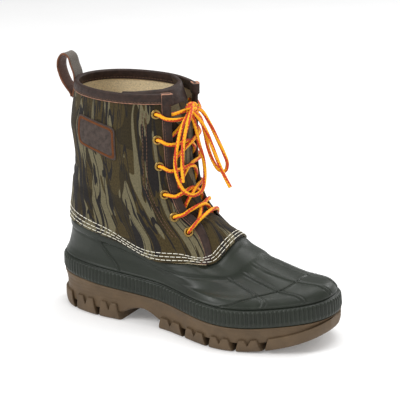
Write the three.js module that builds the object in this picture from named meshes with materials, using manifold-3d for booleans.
// A right duck boot in millimetres: lugged outsole, moulded rubber shell with a ribbed rand, canvas
// shaft with an open throat, tongue, leather bindings, patch, pull loop, eyelets and a tied rope lace.
// +X runs to the toe, +Y to the inner side of the foot, +Z up. The origin is on the floor under the heel.
import * as THREE from "three";
import Module from "manifold-3d";
import { mergeVertices } from "three/addons/utils/BufferGeometryUtils.js";

const wasm = await Module();
wasm.setup();

// Sole outline
const soleLength = 296;
const heelSetback = 40;
const heelWidth = 80;
const waistWidth = 76;
const ballWidth = 114;
const toeWidth = 90;
const heelBlunt = 1.3;
const toeBlunt = 1.2;
const shaftBlunt = 1.0;
const waistSwing = -3;
const ballSwing = -2;
const toeSwing = 7;

// Heights of the outsole's top edge, and of the tread under it
const heelStack = 39;
const waistStack = 31;
const ballStack = 25;
const toeStack = 33;
const toeSpring = 18;
const toeSpringStart = 178;
const heelLugHeight = 18;
const foreLugHeight = 13;
const treadDepth = 7;
const archHeight = 15;
const soleProud = 1.3;
const lugProud = 2.2;
const lugDraft = 4.5;

// Rubber shell
const shellWall = 2.6;
const randHeight = 17;
const randProud = 1.6;
const ribDepth = 0.8;
const ribPitch = 13;
const grooveDepth = 0.7;
const rimProud = 1.0;
const ridgeWidth = 2.4;
const ridgeProud = 0.9;
const rimBackHeight = 96;
const rimWaistHeight = 86;
const rimBallHeight = 72.6;
const rimFrontHeight = 93;

// Canvas shaft
const canvasWall = 1.9;
const collarLength = 120;
const collarWidth = 86;
const collarBack = -21.5;
const collarBackHeight = 236;
const collarFrontHeight = 235.5;
const collarRoll = 1;
const throatGapTop = 45;
const throatGapMiddle = 38;
const throatGapNarrow = 28;
const throatGapFoot = 58;
const throatOffset = -1.5;
const clearance = 0.3;

// Insole, tongue and leather trims
const insoleThickness = 4;
const tongueWall = 2;
const tongueLap = 18;
const bindingHeight = 8.5;
const facingStripWidth = 7;
const leatherWall = 1.1;
const patchWidth = 45;
const patchHeight = 32;
const patchCentreX = 20;
const patchCentreHeight = 187;
const patchWall = 1.4;
const loopStrapWidth = 16;
const loopStrapWall = 2;
const loopHeight = 21;
const loopReach = 25.5;

// Eyelets and lace
const eyeletCount = 6;
const eyeletBore = 2.7;
const eyeletFlange = 4.8;
const eyeletWall = 0.5;
const eyeletSetback = 12.6;
const laceDiameter = 3.8;

const heelBackX = -heelSetback;
const overlapLevel = 6;
const rawEdgeLevel = 5;
const stepLevel = 4;
const collarLevel = 10;
const roundSteps = 44;

// Smooth curve through table points: cubic with slopes from its neighbours.
function curve(xs, ys) {
  const slope = (i) => {
    const a = Math.max(0, i - 1);
    const b = Math.min(xs.length - 1, i + 1);
    return (ys[b] - ys[a]) / (xs[b] - xs[a]);
  };
  return (x) => {
    let i = 0;
    while (i < xs.length - 2 && x > xs[i + 1]) i++;
    const span = xs[i + 1] - xs[i];
    const t = Math.min(1, Math.max(0, (x - xs[i]) / span));
    const t2 = t * t;
    const t3 = t2 * t;
    return (
      ys[i] * (2 * t3 - 3 * t2 + 1) +
      slope(i) * span * (t3 - 2 * t2 + t) +
      ys[i + 1] * (3 * t2 - 2 * t3) +
      slope(i + 1) * span * (t3 - t2)
    );
  };
}

// Stations along a ring, as shares of its length from back to front
const stationShares = [0, 0.14, 0.42, 0.68, 0.88, 1];
const heightShares = [0, 0.4, 0.75, 1];
const featherHeight = curve(heightShares, [heelStack, waistStack, ballStack, toeStack]);
const rimShares = [0, 0.15, 0.32, 0.6, 0.8, 0.93, 1];
const rimBlend = [1, 0.65, 0, 0, 0, 0.07, 1];
const rimHeight = curve(rimShares, [
  rimBackHeight,
  rimWaistHeight + (rimBackHeight - rimWaistHeight) * rimBlend[1],
  rimWaistHeight,
  rimBallHeight,
  rimBallHeight,
  rimBallHeight + (rimFrontHeight - rimBallHeight) * rimBlend[5],
  rimFrontHeight,
]);
const collarHeight = curve([0, 1], [collarBackHeight, collarFrontHeight]);
const swingCurve = curve(stationShares, [0, 0, waistSwing, ballSwing, toeSwing * 0.7, toeSwing]);

// Foot rings: back and front as shares of soleLength, half widths as shares of the four sole widths,
// swing as a share of the sole's, and rise as a share of the way from the rand's top up to the rim
const footRings = [
  { back: 0.0, front: 1.0, heel: 0.5, waist: 0.5, ball: 0.5, toe: 0.5, swing: 1, riseBack: 0, riseFront: 0 },
  { back: 0.0, front: 0.992, heel: 0.49, waist: 0.49, ball: 0.49, toe: 0.48, swing: 1, riseBack: 0, riseFront: 0 },
  { back: 0.012, front: 0.965, heel: 0.465, waist: 0.475, ball: 0.46, toe: 0.445, swing: 0.9, riseBack: 0.25, riseFront: 0.28 },
  { back: 0.022, front: 0.87, heel: 0.452, waist: 0.465, ball: 0.41, toe: 0.42, swing: 0.6, riseBack: 0.5, riseFront: 0.4 },
  { back: 0.034, front: 0.7, heel: 0.445, waist: 0.48, ball: 0.365, toe: 0.38, swing: 0.25, riseBack: 0.88, riseFront: 0.8 },
  { back: 0.037, front: 0.66, heel: 0.44, waist: 0.48, ball: 0.36, toe: 0.36, swing: 0.2, riseBack: 1, riseFront: 1 },
];

// Shaft rings: back and front as shares of collarLength from the collar's back, half widths as shares
// of collarWidth, and rise as a share of the way from the rim up to the collar
const shaftRings = [
  { back: -0.068, front: 1.262, heel: 0.405, waist: 0.435, ball: 0.455, toe: 0.35, rise: 0.09 },
  { back: -0.052, front: 1.088, heel: 0.395, waist: 0.44, ball: 0.445, toe: 0.325, rise: 0.25 },
  { back: -0.02, front: 1.017, heel: 0.38, waist: 0.465, ball: 0.455, toe: 0.315, rise: 0.46 },
  { back: -0.05, front: 1.004, heel: 0.37, waist: 0.485, ball: 0.468, toe: 0.322, rise: 0.73 },
  { back: 0, front: 1, heel: 0.35, waist: 0.497, ball: 0.472, toe: 0.33, rise: 1 },
];

// Each ring in millimetres, in one list from the sole's edge to the collar
const rings = [
  ...footRings.map((r, level) => ({
    back: heelBackX + r.back * soleLength,
    front: heelBackX + r.front * soleLength,
    widths: [r.heel * heelWidth, r.waist * waistWidth, r.ball * ballWidth, r.toe * toeWidth],
    swing: r.swing,
    blunt: heelBlunt,
    height: (s) => {
      const low = featherHeight(s) + (level > 0 ? randHeight : 0);
      return low + (r.riseBack + (r.riseFront - r.riseBack) * s) * (rimHeight(s) - low);
    },
  })),
  ...shaftRings.map((r) => ({
    back: collarBack + r.back * collarLength,
    front: collarBack + r.front * collarLength,
    widths: [r.heel, r.waist, r.ball, r.toe].map((w) => w * collarWidth),
    swing: 0,
    blunt: shaftBlunt,
    height: (s, side) => rimHeight(s) + r.rise * (collarHeight(s) + collarRoll * side - rimHeight(s)),
  })),
];
const levels = rings.map((_, i) => i);
const along = (pick) => curve(levels, rings.map(pick));
const backOf = along((r) => r.back);
const frontOf = along((r) => r.front);
const swingOf = along((r) => r.swing);
const bluntOf = along((r) => r.blunt);
const widthsOf = [0, 1, 2, 3].map((k) => along((r) => r.widths[k]));

// A point of the boot's outer form: angle 0 at the front, a quarter turn at the inner side.
function formPoint(angle, level) {
  const s = (1 + Math.cos(angle)) / 2;
  const back = backOf(level);
  const front = frontOf(level);
  const reach = widthsOf.map((w, k) => w(level) / (2 * Math.sqrt(stationShares[k + 1] * (1 - stationShares[k + 1]))));
  const round = curve(stationShares, [reach[0] * bluntOf(level), ...reach, reach[3] * toeBlunt]);
  const half = Math.sin(angle) * round(s);
  const z = curve(levels, rings.map((r) => r.height(s, Math.sin(angle))))(level);
  return new THREE.Vector3(back + (front - back) * s, half + swingOf(level) * swingCurve(s), z);
}

// The same point moved outwards along the surface's normal.
function skinPoint(angle, level, offset) {
  const here = formPoint(angle, level);
  if (offset === 0) return here;
  const turn = 0.02;
  const step = 0.04;
  const low = Math.max(0, level - step);
  const high = Math.min(collarLevel, level + step);
  const across = formPoint(angle + turn, level).sub(formPoint(angle - turn, level));
  const upward = formPoint(angle, high).sub(formPoint(angle, low));
  return here.addScaledVector(across.cross(upward).normalize(), offset);
}

// Half of the throat's width at a level, and the angle where the front edge of a quarter lies
const throatHalf = curve(
  [rawEdgeLevel, 5.6, 6.3, 7, 8, collarLevel],
  [
    throatGapFoot,
    (throatGapFoot + throatGapNarrow * 2) / 3,
    throatGapNarrow,
    (throatGapNarrow + throatGapMiddle) / 2,
    throatGapMiddle,
    throatGapTop,
  ].map((w) => w / 2),
);
function angleAtReach(level, reach, side) {
  let low = 0;
  let high = Math.PI / 2;
  for (let i = 0; i < 40; i++) {
    const middle = (low + high) / 2;
    if (side * (formPoint(side * middle, level).y - throatOffset) < reach) low = middle;
    else high = middle;
  }
  return side * low;
}

// Arc length steps: the angle that lies a given distance round the ring from another angle.
function angleAlong(angle, level, distance) {
  const turn = Math.sign(distance) * 0.01;
  let left = Math.abs(distance);
  let here = formPoint(angle, level);
  while (left > 0) {
    const next = formPoint(angle + turn, level);
    const gone = next.distanceTo(here);
    if (gone >= left) return angle + (turn * left) / gone;
    left -= gone;
    angle += turn;
    here = next;
  }
  return angle;
}

// Height steps: the level that lies a given distance up the surface from another level.
function levelAlong(angle, level, distance) {
  const rise = Math.sign(distance) * 0.01;
  let left = Math.abs(distance);
  let here = formPoint(angle, level);
  while (left > 0) {
    const next = formPoint(angle, level + rise);
    const gone = next.distanceTo(here);
    if (gone < 1e-6 || level + rise > collarLevel || level + rise < 0) return level;
    if (gone >= left) return level + (rise * left) / gone;
    left -= gone;
    level += rise;
    here = next;
  }
  return level;
}

// A closed solid from its points and triangles.
function solidOf(points, triangles) {
  const made = new wasm.Mesh({
    numProp: 3,
    vertProperties: new Float32Array(points.flatMap((p) => [p.x, p.y, p.z])),
    triVerts: new Uint32Array(triangles.flat()),
  });
  const solid = new wasm.Manifold(made);
  return solid.volume() < 0
    ? new wasm.Manifold(
        new wasm.Mesh({ numProp: 3, vertProperties: made.vertProperties, triVerts: new Uint32Array(triangles.flatMap(([a, b, c]) => [a, c, b])) }),
      )
    : solid;
}

// A solid from rows of closed sections: each row is a loop, rows are joined in order, and the ends are
// capped, or the last row is joined to the first.
function loft(rows, { ring = false, cap = ladderCap } = {}) {
  const n = rows[0].length;
  const points = rows.flat();
  const triangles = [];
  const last = ring ? rows.length : rows.length - 1;
  for (let r = 0; r < last; r++) {
    const low = r * n;
    const high = ((r + 1) % rows.length) * n;
    for (let i = 0; i < n; i++) {
      const j = (i + 1) % n;
      triangles.push([low + i, low + j, high + j], [low + i, high + j, high + i]);
    }
  }
  if (!ring) {
    const top = (rows.length - 1) * n;
    for (const [a, b, c] of cap(rows[0])) triangles.push([a, c, b]);
    for (const [a, b, c] of cap(rows[rows.length - 1])) triangles.push([top + a, top + b, top + c]);
  }
  return solidOf(points, triangles);
}

// Caps a loop whose point i lies across from point n - i, as the rungs of a ladder.
function ladderCap(loop) {
  const n = loop.length;
  const out = [];
  for (let i = 0; i < n / 2; i++) {
    const a = i;
    const b = i + 1;
    const c = (n - i - 1) % n;
    const d = (n - i) % n;
    if (a !== d) out.push([a, b, d]);
    if (b !== c) out.push([b, c, d]);
  }
  return out;
}

// Caps a section that is flat, or nearly so, whatever its outline.
function flatCap(loop) {
  const origin = loop[0];
  const normal = new THREE.Vector3();
  loop.forEach((p, i) => {
    const q = loop[(i + 1) % loop.length];
    normal.add(p.clone().sub(origin).cross(q.clone().sub(origin)));
  });
  normal.normalize();
  const u = new THREE.Vector3(1, 0, 0).cross(normal);
  if (u.length() < 0.3) u.set(0, 1, 0).cross(normal);
  u.normalize();
  const v = normal.clone().cross(u);
  const flat = loop.map((p) => new THREE.Vector2(p.dot(u), p.dot(v)));
  return THREE.ShapeUtils.triangulateShape(flat, []);
}

// A wall between an outer and an inner grid of points, open at its top and bottom. A grid is a list of
// rows. A closed grid goes all the way round, and an open one gets an edge at each end.
function wall(outer, inner, closed) {
  const n = outer[0].length;
  if (closed) return loft([...outer, ...inner.slice().reverse()], { ring: true });
  const columns = [];
  for (let i = 0; i < n; i++) columns.push([...outer.map((row) => row[i]), ...inner.map((row) => row[i]).reverse()]);
  return loft(columns, { cap: stripCap });
}

// Caps the edge of a wall: its loop goes up the outside and down the inside.
function stripCap(loop) {
  const n = loop.length;
  const out = [];
  for (let i = 0; i < n / 2 - 1; i++) {
    const a = i;
    const b = i + 1;
    const c = n - 2 - i;
    const d = n - 1 - i;
    out.push([a, b, c], [a, c, d]);
  }
  return out;
}

// A three.js geometry as a solid.
function solidFrom(geometry) {
  const bare = geometry.clone();
  bare.deleteAttribute("normal");
  bare.deleteAttribute("uv");
  const merged = mergeVertices(bare, 1e-4);
  return new wasm.Manifold(
    new wasm.Mesh({ numProp: 3, vertProperties: merged.attributes.position.array, triVerts: new Uint32Array(merged.index.array) }),
  );
}

function geometryOf(solid) {
  const mesh = solid.getMesh();
  const made = new THREE.BufferGeometry();
  const points = new Float32Array(mesh.numVert * 3);
  for (let i = 0; i < mesh.numVert; i++) {
    for (let k = 0; k < 3; k++) points[i * 3 + k] = mesh.vertProperties[i * mesh.numProp + k];
  }
  made.setAttribute("position", new THREE.BufferAttribute(points, 3));
  made.setIndex(new THREE.BufferAttribute(new Uint32Array(mesh.triVerts), 1));
  made.computeVertexNormals();
  return made;
}

// Materials
const finish = (color, roughness, metalness = 0) => new THREE.MeshStandardMaterial({ color, roughness, metalness });
const gumRubber = finish(0x6b5a43, 0.6);
const greenRubber = finish(0x3a3f39, 0.45);
const canvas = finish(0x5a5138, 0.9);
const brownLeather = finish(0x3d2b24, 0.6);
const tanLeather = finish(0x5a463e, 0.7);
const beigeFelt = finish(0xa89a78, 0.95);
const brass = finish(0x8a6d35, 0.35, 0.9);
const ropeYellow = finish(0xe0921a, 0.7);

const boot = new THREE.Group();
function add(name, solid, material) {
  const mesh = new THREE.Mesh(geometryOf(solid), material);
  mesh.name = name;
  boot.add(mesh);
  return solid;
}

// Round the whole ring: angles for a closed row.
const turnSteps = (count) => Array.from({ length: count }, (_, i) => (2 * Math.PI * i) / count);

// Outsole
// The floor under the tread, which lifts towards the toe.
const toeTipX = heelBackX + soleLength;
function treadFloor(x) {
  const t = Math.max(0, (x - toeSpringStart) / (toeTipX - toeSpringStart));
  return toeSpring * t * t;
}

// A point on the sole's outline, moved in by an inset.
function solePoint(angle, inset, height) {
  const p = formPoint(angle, 0);
  const turn = 0.02;
  const tangent = formPoint(angle + turn, 0).sub(formPoint(angle - turn, 0));
  const outward = new THREE.Vector2(tangent.y, -tangent.x).normalize();
  const x = p.x - outward.x * inset;
  return new THREE.Vector3(x, p.y - outward.y * inset, height(x, p.z));
}
function soleRow(inset, height) {
  return turnSteps(roundSteps).map((a) => solePoint(a, inset, height));
}

// Lugs along the sole: where each starts and ends, in shares of soleLength from the heel's back
const heelLugs = [
  { start: 0.0, end: 0.081, notched: false },
  { start: 0.091, end: 0.184, notched: true },
  { start: 0.194, end: 0.278, notched: true },
];
const foreLugs = [
  { start: 0.427, end: 0.534, notched: true },
  { start: 0.544, end: 0.638, notched: true },
  { start: 0.648, end: 0.733, notched: true },
  { start: 0.743, end: 0.822, notched: true },
  { start: 0.832, end: 1.02, notched: false },
];
const shareX = (share) => heelBackX + share * soleLength;

// A bar across the whole sole with a given outline seen from the side.
function crossBar(outline, low, high) {
  const shape = new THREE.Shape(outline.map(([x, z]) => new THREE.Vector2(x, z)));
  const bar = new THREE.ExtrudeGeometry(shape, { depth: high - low, bevelEnabled: false });
  bar.rotateX(Math.PI / 2);
  bar.translate(0, high, 0);
  return solidFrom(bar);
}

function makeOutsole() {
  const arch = (x) => {
    const from = shareX(heelLugs[2].end);
    const to = shareX(foreLugs[0].start);
    const t = Math.min(1, Math.max(0, (x - from) / (to - from)));
    return (archHeight - treadDepth) * Math.sin(Math.PI * t);
  };
  const base = loft([
    soleRow(7, (x) => treadFloor(x) + treadDepth + arch(x)),
    soleRow(3.2 - soleProud, (x) => treadFloor(x) + treadDepth + 2.5 + arch(x)),
    soleRow(2.4 - soleProud, (x, top) => (treadFloor(x) + treadDepth + arch(x) + top) / 2),
    soleRow(0.6 - soleProud, (x, top) => top - 4),
    soleRow(-soleProud, (x, top) => top),
  ]);
  const lugTop = (x) => treadFloor(x) + (x < shareX(0.36) ? heelLugHeight : foreLugHeight);
  const envelope = loft([
    soleRow(5.5, (x) => treadFloor(x)),
    soleRow(1.5 - soleProud, (x) => treadFloor(x) + 4),
    soleRow(2.4 - lugProud - soleProud, (x) => (treadFloor(x) * 2 + lugTop(x)) / 2 - treadFloor(x) / 2),
    soleRow(2.4 - lugProud - soleProud + 0.6, (x) => lugTop(x)),
  ]);
  const span = ballWidth;
  const over = 3;
  let lugs = null;
  for (const lug of [...heelLugs, ...foreLugs]) {
    const a = shareX(lug.start);
    const b = shareX(lug.end);
    const height = a < shareX(0.36) ? heelLugHeight : foreLugHeight;
    const rear = lug.start === 0 ? -over : lugDraft;
    const fore = lug.end > 1 ? -over : lugDraft;
    const outline = [
      [a - (lug.start === 0 ? over : 0), treadFloor(a) - over],
      [b, treadFloor(b) - over],
      [b - fore, treadFloor(b) + height + over],
      [a + rear, treadFloor(a) + height + over],
    ];
    const bar = crossBar(outline, -span, span);
    lugs = lugs ? lugs.add(bar) : bar;
  }
  let sole = base.add(lugs.intersect(envelope));
  for (const lug of [...heelLugs, ...foreLugs].filter((l) => l.notched)) {
    const middle = (shareX(lug.start) + shareX(lug.end)) / 2;
    const isHeel = lug.start < 0.36;
    const height = isHeel ? heelLugHeight : foreLugHeight;
    const base = treadFloor(middle) + height;
    const notch = [
      [middle - 3.2, base + 1],
      [middle, base - height * 0.42],
      [middle + 3.2, base + 1],
    ];
    for (const side of [-1, 1]) {
      const edge = soleEdgeAt(middle, side);
      const inner = edge - side * (3 - soleProud);
      const outer = edge + side * (4 + soleProud);
      sole = sole.subtract(crossBar(notch, Math.min(inner, outer), Math.max(inner, outer)));
    }
  }
  return sole;
}

// The outline's y on one side at a given x.
function soleEdgeAt(x, side) {
  let low = 0;
  let high = Math.PI;
  for (let i = 0; i < 40; i++) {
    const middle = (low + high) / 2;
    if (formPoint(side * middle, 0).x > x) low = middle;
    else high = middle;
  }
  return formPoint(side * low, 0).y;
}

const outsole = add("outsole", makeOutsole(), gumRubber);

// Rubber shell
// How far the moulded surface stands out of the form, from the sole's edge to the hidden top edge
const shellRelief = [
  { level: 0, proud: 0, inside: true },
  { level: 0.94, proud: 0, inside: false },
  { level: 1.05, proud: -grooveDepth, inside: false },
  { level: 1.15, proud: 0, inside: true },
  { level: 1.8, proud: 0, inside: false },
  { level: 2.5, proud: 0, inside: true },
  { level: 3.2, proud: 0, inside: false },
  { level: 3.95, proud: 0, inside: true },
  { level: stepLevel + 0.12, proud: rimProud * 0.9, inside: false },
  { level: rawEdgeLevel, proud: rimProud, inside: true },
  { level: 5.5, proud: rimProud, inside: false },
  { level: overlapLevel, proud: rimProud, inside: true },
];
function liftedRow(level, offset, rise = 0) {
  return turnSteps(roundSteps).map((a) => {
    const p = skinPoint(a, level, offset);
    p.z += rise;
    return p;
  });
}
function makeShell() {
  const rise = (level) => (level === 0 ? clearance : 0);
  const outer = shellRelief.map((r) => liftedRow(r.level, r.proud, rise(r.level)));
  const inner = shellRelief.filter((r) => r.inside).map((r) => liftedRow(r.level, -shellWall, rise(r.level)));
  return loft([...outer, ...inner.reverse()], { ring: true }).add(makeRidges());
}

// The ribbed rand round the shell's foot: a band with upright ribs, as one zigzag.
function makeRand() {
  let length = 0;
  const walk = turnSteps(720).map((a) => formPoint(a, 0.5));
  walk.forEach((p, i) => (length += p.distanceTo(walk[(i + 1) % walk.length])));
  const count = Math.round(length / ribPitch) * 2;
  const angles = [];
  let gone = 0;
  for (let i = 0; i < walk.length; i++) {
    const step = walk[i].distanceTo(walk[(i + 1) % walk.length]);
    while (angles.length < count && gone + step >= (angles.length * length) / count) {
      const t = ((angles.length * length) / count - gone) / step;
      angles.push((2 * Math.PI * (i + t)) / walk.length);
    }
    gone += step;
  }
  const row = (level, ridge, valley) =>
    angles.map((a, i) => {
      const p = skinPoint(a, level, i % 2 ? valley : ridge);
      p.z += clearance;
      return p;
    });
  const seat = clearance * 3;
  return loft(
    [
      row(0.02, seat, seat),
      row(0.06, randProud + ribDepth, randProud),
      row(0.86, randProud + ribDepth, randProud),
      row(0.96, seat, seat),
    ],
    { ring: true },
  );
}

// Raised lines that fan out over the vamp from the rim to the rand: where each starts and ends round
// the ring, as shares of a half turn
const ridges = [
  { start: -0.19, end: -0.27 },
  { start: -0.13, end: -0.145 },
  { start: -0.075, end: -0.02 },
  { start: -0.01, end: 0.07 },
];
function makeRidges() {
  const steps = 5;
  let made = null;
  for (const ridge of ridges) {
    const rows = [];
    for (let i = 0; i <= steps; i++) {
      const t = i / steps;
      const level = 4.05 + (1.2 - 4.05) * t;
      const angle = Math.PI * (ridge.start + (ridge.end - ridge.start) * t);
      const left = angleAlong(angle, level, -ridgeWidth / 2);
      const right = angleAlong(angle, level, ridgeWidth / 2);
      rows.push([
        skinPoint(left, level, -shellWall / 2),
        skinPoint(right, level, -shellWall / 2),
        skinPoint(right, level, 0.1),
        skinPoint(angle, level, ridgeProud),
        skinPoint(left, level, 0.1),
      ]);
    }
    const strip = loft(rows, { cap: flatCap });
    made = made ? made.add(strip) : strip;
  }
  return made;
}
add("shell", makeShell(), greenRubber);
add("rand", makeRand(), greenRubber);

// Insole
function makeInsole() {
  const margin = shellWall + clearance + 1.2;
  const low = (x, top) => top + clearance;
  const high = (x, top) => top + clearance + insoleThickness;
  return loft([soleRow(margin, low), soleRow(margin, high)]);
}
add("insole", makeInsole(), beigeFelt);

// Canvas shaft
// The wall's inner face: over the shell's rim it clears the rubber, and above it closes in.
const canvasSeat = curve([rawEdgeLevel, overlapLevel + 0.1, overlapLevel + 0.9, collarLevel], [rimProud + clearance * 2.2, rimProud + clearance * 2.2, 0.4, 0.4]);
const shaftLevels = [5, 5.5, 6, 6.4, 6.8, 7.2, 7.8, 8.5, 9.2, 10];
function quarterEdge(level, side) {
  return angleAtReach(level, throatHalf(level), side);
}

// The block that opens the throat between the quarters, whose edges are drawn in by a margin.
function makeThroat(margin) {
  const reach = 9;
  const over = 6;
  const steps = 8;
  const row = (level, offset, rise) => {
    const from = angleAlong(quarterEdge(level, -1), level, margin);
    const to = angleAlong(quarterEdge(level, 1), level, -margin);
    return Array.from({ length: steps + 1 }, (_, i) => {
      const p = skinPoint(from + ((to - from) * i) / steps, level, offset);
      p.z += rise;
      return p;
    });
  };
  const grid = (offset) => [
    row(rawEdgeLevel, offset, -over),
    ...shaftLevels.map((level) => row(level, offset, 0)),
    row(collarLevel, offset, over),
  ];
  return wall(grid(reach), grid(-reach), false);
}
function makeCanvas(outside, inside, margin) {
  const rise = (level) => (level === collarLevel ? margin : 0);
  const grid = (extra) => shaftLevels.map((level) => liftedRow(level, canvasSeat(level) + extra, rise(level)));
  return wall(grid(outside), grid(inside), true).subtract(makeThroat(margin));
}

// The room that the canvas takes up, with the clearance round it: what seats on the canvas is cut by it.
const canvasRoom = makeCanvas(canvasWall + clearance, -clearance, clearance);

// The room that the shell's rim takes up under the tongue.
function makeRimRoom() {
  const gap = clearance * 1.4;
  const rise = (level) => (level === overlapLevel ? gap : 0);
  const levels = [rawEdgeLevel - 0.3, rawEdgeLevel, 5.5, overlapLevel];
  const rows = (offset) => levels.map((level) => liftedRow(level, offset, rise(level)));
  return wall(rows(rimProud + gap), rows(-shellWall - gap), true);
}

// Eyelets
// Each eyelet's level on the quarters, from the top one down
const eyeletLevels = [9.58, 9.0, 8.42, 7.72, 7.02, 6.42];
function eyeletPlace(index, side) {
  const level = eyeletLevels[index];
  const angle = angleAlong(quarterEdge(level, side), level, side * eyeletSetback);
  const seat = skinPoint(angle, level, canvasSeat(level));
  const outside = skinPoint(angle, level, canvasSeat(level) + canvasWall);
  return { angle, level, seat, outside, outward: outside.clone().sub(seat).normalize() };
}
function turned(geometry, place) {
  const turn = new THREE.Quaternion().setFromUnitVectors(new THREE.Vector3(0, 1, 0), place.outward);
  geometry.applyQuaternion(turn);
  geometry.translate(place.outside.x, place.outside.y, place.outside.z);
  return geometry;
}
const sides = [
  { name: "outer", side: -1 },
  { name: "inner", side: 1 },
];
let upper = makeCanvas(canvasWall, 0, 0);
const eyeletLift = clearance * 3;
function makePunch(place) {
  const bore = eyeletBore + eyeletWall + clearance;
  return solidFrom(turned(new THREE.CylinderGeometry(bore, bore, 12, 8), place));
}
for (const { side } of sides) {
  for (let i = 0; i < eyeletCount; i++) upper = upper.subtract(makePunch(eyeletPlace(i, side)));
}
add("upper", upper, canvas);

function makeEyelet(place) {
  const barrel = eyeletBore + eyeletWall;
  const low = -canvasWall - 0.2;
  const profile = [
    [eyeletBore, low],
    [barrel, low],
    [barrel, eyeletLift],
    [eyeletFlange, eyeletLift],
    [eyeletFlange, eyeletLift + 0.3],
    [eyeletBore, eyeletLift + 0.8],
    [eyeletBore, low],
  ].map(([r, h]) => new THREE.Vector2(r, h));
  return solidFrom(turned(new THREE.LatheGeometry(profile, 8), place));
}
for (const { name, side } of sides) {
  for (let i = 0; i < eyeletCount; i++) add(`eyelet_${name}_${i + 1}`, makeEyelet(eyeletPlace(i, side)), brass);
}

// Tongue
// It is sewn over the shell's rim between the quarters, then dives under them. The column under is the
// share of the way down, and lap the share of tongueLap that it reaches past each quarter's edge.
const tongueRows = [
  { level: 5, under: 0, lap: -0.1 },
  { level: 5.5, under: 0, lap: -0.1 },
  { level: 6, under: 0, lap: -0.1 },
  { level: 6.15, under: 0.1, lap: -0.1 },
  { level: 6.4, under: 0.75, lap: -0.1 },
  { level: 6.8, under: 1, lap: -0.06 },
  { level: 7.2, under: 1, lap: 1 },
  { level: 7.8, under: 1, lap: 1 },
  { level: 8.5, under: 1, lap: 1 },
  { level: 9.2, under: 1, lap: 1 },
  { level: 9.97, under: 1.3, lap: 1 },
];
const tongueSteps = 8;
const canvasTop = rimProud + clearance * 2.2 + canvasWall;
const tongueDeep = 0.4 - clearance * 3 - leatherWall;
function tongueRow(r, extra) {
  const from = angleAlong(quarterEdge(r.level, -1), r.level, -tongueLap * r.lap);
  const to = angleAlong(quarterEdge(r.level, 1), r.level, tongueLap * r.lap);
  const skin = canvasTop + (tongueDeep - canvasTop) * r.under;
  const at = (i) => from + ((to - from) * i) / tongueSteps;
  return Array.from({ length: tongueSteps + 1 }, (_, i) => skinPoint(at(i), r.level, skin - extra));
}
function makeTongue() {
  const whole = wall(tongueRows.map((r) => tongueRow(r, 0)), tongueRows.map((r) => tongueRow(r, tongueWall)), false);
  return whole.subtract(makeRimRoom());
}
add("tongue", makeTongue(), canvas);

// Leather bindings
const collarSteps = 24;
function makeCollarBinding() {
  const start = angleAlong(quarterEdge(collarLevel, 1), collarLevel, -clearance - leatherWall);
  const end = 2 * Math.PI + angleAlong(quarterEdge(collarLevel, -1), collarLevel, clearance + leatherWall);
  const proud = canvasSeat(collarLevel) + canvasWall + clearance + leatherWall;
  const deep = canvasSeat(collarLevel) - clearance - leatherWall;
  const sections = [];
  for (let i = 0; i <= collarSteps; i++) {
    const angle = start + ((end - start) * i) / collarSteps;
    const hem = levelAlong(angle, collarLevel, -bindingHeight);
    const top = (offset) => skinPoint(angle, collarLevel, offset).add(new THREE.Vector3(0, 0, clearance + leatherWall));
    sections.push([skinPoint(angle, hem, deep), skinPoint(angle, hem, proud), top(proud), top(deep)]);
  }
  return loft(sections, { cap: flatCap });
}

add("collar_binding", makeCollarBinding().subtract(canvasRoom), brownLeather);

// A binding down a quarter's front edge: folded round the edge above the tongue's root, flat below it
const foldLevels = [6.8, 7.2, 7.8, 8.5, 9.2];
const flatLevels = [5.02, 5.5, 6, 6.4, 6.9];
function edgePoint(side, level, back, offset) {
  return skinPoint(angleAlong(quarterEdge(level, side), level, side * back), level, offset);
}
function makeFacing(side) {
  const hem = levelAlong(quarterEdge(collarLevel, side), collarLevel, -bindingHeight - clearance * 2);
  const lip = -clearance - leatherWall;
  const proud = canvasWall + clearance + leatherWall;
  const deep = -clearance - leatherWall;
  const folded = [...foldLevels, hem].map((level) => [
    edgePoint(side, level, facingStripWidth, canvasSeat(level) + proud),
    edgePoint(side, level, facingStripWidth / 2, canvasSeat(level) + proud),
    edgePoint(side, level, lip, canvasSeat(level) + proud),
    edgePoint(side, level, lip, canvasSeat(level) + deep),
    edgePoint(side, level, facingStripWidth, canvasSeat(level) + deep),
  ]);
  const flat = flatLevels.map((level) => [
    edgePoint(side, level, facingStripWidth, canvasSeat(level) + proud),
    edgePoint(side, level, facingStripWidth / 2, canvasSeat(level) + proud),
    edgePoint(side, level, lip, canvasSeat(level) + proud),
    edgePoint(side, level, lip, canvasSeat(level) + canvasWall + clearance),
    edgePoint(side, level, facingStripWidth, canvasSeat(level) + canvasWall / 2),
  ]);
  return loft(folded, { cap: flatCap }).add(loft(flat, { cap: flatCap }));
}
for (const { name, side } of sides) add(`facing_binding_${name}`, makeFacing(side).subtract(canvasRoom), brownLeather);

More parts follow.
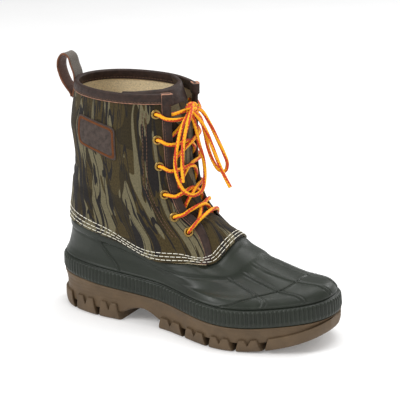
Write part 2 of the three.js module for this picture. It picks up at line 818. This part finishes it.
// Patch on the outer side
// Rows from its foot to its head: each row's height and half length as shares of the patch's
const patchRows = [
  { up: -0.5, reach: 0.43 },
  { up: -0.45, reach: 0.485 },
  { up: -0.36, reach: 0.5 },
  { up: 0, reach: 0.5 },
  { up: 0.36, reach: 0.5 },
  { up: 0.45, reach: 0.485 },
  { up: 0.5, reach: 0.43 },
];
const patchTilt = 0.11;
function makePatch() {
  let centreLevel = 8;
  while (formPoint(-Math.PI / 2, centreLevel).z < patchCentreHeight) centreLevel += 0.01;
  let centre = -Math.PI / 2;
  const reachX = () => formPoint(centre, centreLevel).x;
  while (reachX() > patchCentreX) centre -= 0.005;
  while (reachX() < patchCentreX) centre += 0.005;
  const columns = [-1, -0.5, 0, 0.5, 1];
  const grid = (offset) =>
    patchRows.map((r) =>
      columns.map((c) => {
        const out = c * r.reach * patchWidth;
        const level = levelAlong(centre, centreLevel, r.up * patchHeight - out * patchTilt);
        return skinPoint(angleAlong(centre, level, out), level, canvasSeat(level) + canvasWall + offset);
      }),
    );
  return wall(grid(clearance + patchWall), grid(-canvasWall / 2), false);
}
add("patch", makePatch().subtract(canvasRoom), tanLeather);

// Pull loop at the back of the collar
// Its strap's line seen from the side: out is the share of loopReach behind the shaft's back at that height,
// and up the share of loopHeight above the collar
const loopLine = [
  { out: 0.2, up: -1.05 },
  { out: 0.2, up: -0.4 },
  { out: 0.28, up: 0.1 },
  { out: 0.41, up: 0.5 },
  { out: 0.53, up: 0.88 },
  { out: 0.75, up: 1.0 },
  { out: 0.96, up: 0.72 },
  { out: 1.0, up: 0.35 },
  { out: 0.92, up: 0.0 },
  { out: 0.74, up: -0.33 },
  { out: 0.5, up: -0.66 },
  { out: 0.3, up: -0.95 },
  { out: 0.295, up: -1.1 },
];
function backAt(height) {
  let level = collarLevel;
  while (formPoint(Math.PI, level).z > height) level -= 0.02;
  return formPoint(Math.PI, level).x;
}
function makePullLoop() {
  const path = new THREE.CatmullRomCurve3(
    loopLine.map((p) => {
      const height = collarBackHeight + p.up * loopHeight;
      return new THREE.Vector3(backAt(height) - p.out * loopReach, 0, height);
    }),
  );
  const steps = 24;
  const sections = [];
  for (let i = 0; i <= steps; i++) {
    const at = path.getPointAt(i / steps);
    const along = path.getTangentAt(i / steps);
    const across = new THREE.Vector3(along.z, 0, -along.x).multiplyScalar(loopStrapWall / 2);
    const half = new THREE.Vector3(0, loopStrapWidth / 2, 0);
    sections.push([
      at.clone().sub(half).sub(across),
      at.clone().sub(half).add(across),
      at.clone().add(half).add(across),
      at.clone().add(half).sub(across),
    ]);
  }
  return loft(sections, { cap: flatCap });
}
add("pull_loop", makePullLoop(), brownLeather);

// Lace
// A round cord along a smooth line through points.
function cordAlong(points, steps, diameter = laceDiameter) {
  const path = new THREE.CatmullRomCurve3(points);
  const section = new THREE.Shape();
  section.absarc(0, 0, diameter / 2, 0, 2 * Math.PI, false);
  return solidFrom(new THREE.ExtrudeGeometry(section, { steps, curveSegments: 4, bevelEnabled: false, extrudePath: path }));
}
const laceRadius = laceDiameter / 2;
const laceOnCanvas = canvasSeat(collarLevel) + canvasWall + clearance * 3 + leatherWall + laceRadius;
const laceOnTongue = 3.9;
const laceTuck = 6;

// The tongue's outer face at a level, as an offset from the form.
function tongueSkin(level) {
  const under = curve(tongueRows.map((r) => r.level), tongueRows.map((r) => r.under))(level);
  return canvasTop + (tongueDeep - canvasTop) * under;
}

// One strand from above an eyelet over its quarter's edge to the other quarter's edge
function strand(side, index, otherIndex) {
  const from = eyeletLevels[index];
  const to = eyeletLevels[otherIndex];
  const middle = (from + to) / 2;
  const seat = (level) => laceOnCanvas + canvasSeat(level) - canvasSeat(collarLevel);
  return [
    edgePoint(side, from, eyeletSetback, seat(from) + 0.8),
    edgePoint(side, from + (middle - from) * 0.25, facingStripWidth * 0.6, seat(from) + 0.8),
    edgePoint(side, from + (middle - from) * 0.45, -2, seat(from) + 0.6),
    skinPoint((quarterEdge(middle, 1) + quarterEdge(middle, -1)) / 2, middle, laceOnTongue),
    edgePoint(-side, to + (middle - to) * 0.3, -laceTuck, tongueSkin(to) + laceRadius + clearance * 3),
  ];
}
for (let i = 0; i < eyeletCount - 1; i++) {
  const cross = cordAlong(strand(-1, i, i + 1), 6).add(cordAlong(strand(1, i, i + 1), 6));
  add(`lace_crossing_${i + 1}`, cross, ropeYellow);
}
const lowest = eyeletLevels[eyeletCount - 1];
const barLift = laceOnCanvas + canvasSeat(lowest) - canvasSeat(collarLevel);
const lowBar = [
  edgePoint(-1, lowest, eyeletSetback, barLift),
  edgePoint(-1, lowest, 2, barLift + 1.2),
  skinPoint((quarterEdge(lowest, 1) + quarterEdge(lowest, -1)) / 2, lowest, barLift + 0.8),
  edgePoint(1, lowest, 2, barLift + 1.2),
  edgePoint(1, lowest, eyeletSetback, barLift),
];
add("lace_bar", cordAlong(lowBar, 8), ropeYellow);

// The bow in front of the throat
const knotCentre = new THREE.Vector3(105.4, -6, 219.6);
const knotSize = { x: 4.9, y: 7.5, z: 5.6 };
function makeKnot(margin) {
  const ball = new THREE.SphereGeometry(1, 10, 6);
  ball.scale(knotSize.x + margin, knotSize.y + margin, knotSize.z + margin);
  ball.translate(knotCentre.x, knotCentre.y, knotCentre.z);
  return solidFrom(ball);
}
const knotRoom = makeKnot(clearance * 1.3);
add("lace_knot", makeKnot(0), ropeYellow);

// The lace's last run comes out from under both quarters behind the knot
const tieReach = leatherWall + clearance * 3.2;
const tieLevel = (eyeletLevels[0] + collarLevel) / 2 - 0.25;
const tieBar = [
  edgePoint(-1, tieLevel, -tieReach, 1.4),
  skinPoint((quarterEdge(tieLevel, 1) + quarterEdge(tieLevel, -1)) / 2, tieLevel, laceOnTongue - 1.1),
  edgePoint(1, tieLevel, -tieReach, 1.4),
];
add("lace_tie", cordAlong(tieBar, 5).subtract(knotRoom), ropeYellow);

// Loops and ends that hang from the knot, as points in millimetres
const bowCords = [
  {
    name: "lace_loop_outer",
    steps: 18,
    points: [
      [105.4, -9.5, 217.5], [104.8, -22.5, 206.2], [103.7, -31, 188.5], [101.6, -31.5, 167.5], [105, -29, 149.2],
      [109, -24.5, 140.2], [113, -15.5, 135.6], [115.6, -4, 138], [112, 8.5, 148], [109.2, 11, 163.5],
      [108.6, 2, 184.6], [109, -5.5, 203], [105, -6.5, 215.4],
    ],
  },
  {
    name: "lace_loop_inner",
    steps: 15,
    points: [
      [105.6, -2, 219.6], [109.2, 7, 214.5], [115.9, 12.5, 200], [122.6, 15, 185.1], [128.6, 17, 171.5],
      [131.7, 18, 161.5], [129.5, 17.5, 154], [124, 15.8, 154.6], [118.3, 13.8, 163], [113.8, 11.5, 177],
      [111.4, 9, 193], [109, 4.5, 208.4], [106.4, -3, 217],
    ],
  },
  {
    name: "lace_end_outer",
    steps: 7,
    points: [[108.5, -10, 221.5], [111.5, -23, 211.5], [109.6, -29, 193.6], [108.6, -30, 173.8], [109, -30, 152]],
  },
  {
    name: "lace_end_inner",
    steps: 8,
    points: [[108.2, -7.5, 217], [113, -3, 207.8], [116.8, 3.6, 194.5], [121.4, 7, 179.2], [127, 9, 163.8], [132.8, 10, 151.3], [138.9, 11, 140.3]],
  },
];
for (const cord of bowCords) {
  const path = cord.points.map(([x, y, z]) => new THREE.Vector3(x, y, z));
  add(cord.name, cordAlong(path, cord.steps).subtract(knotRoom), ropeYellow);
}

export default boot;
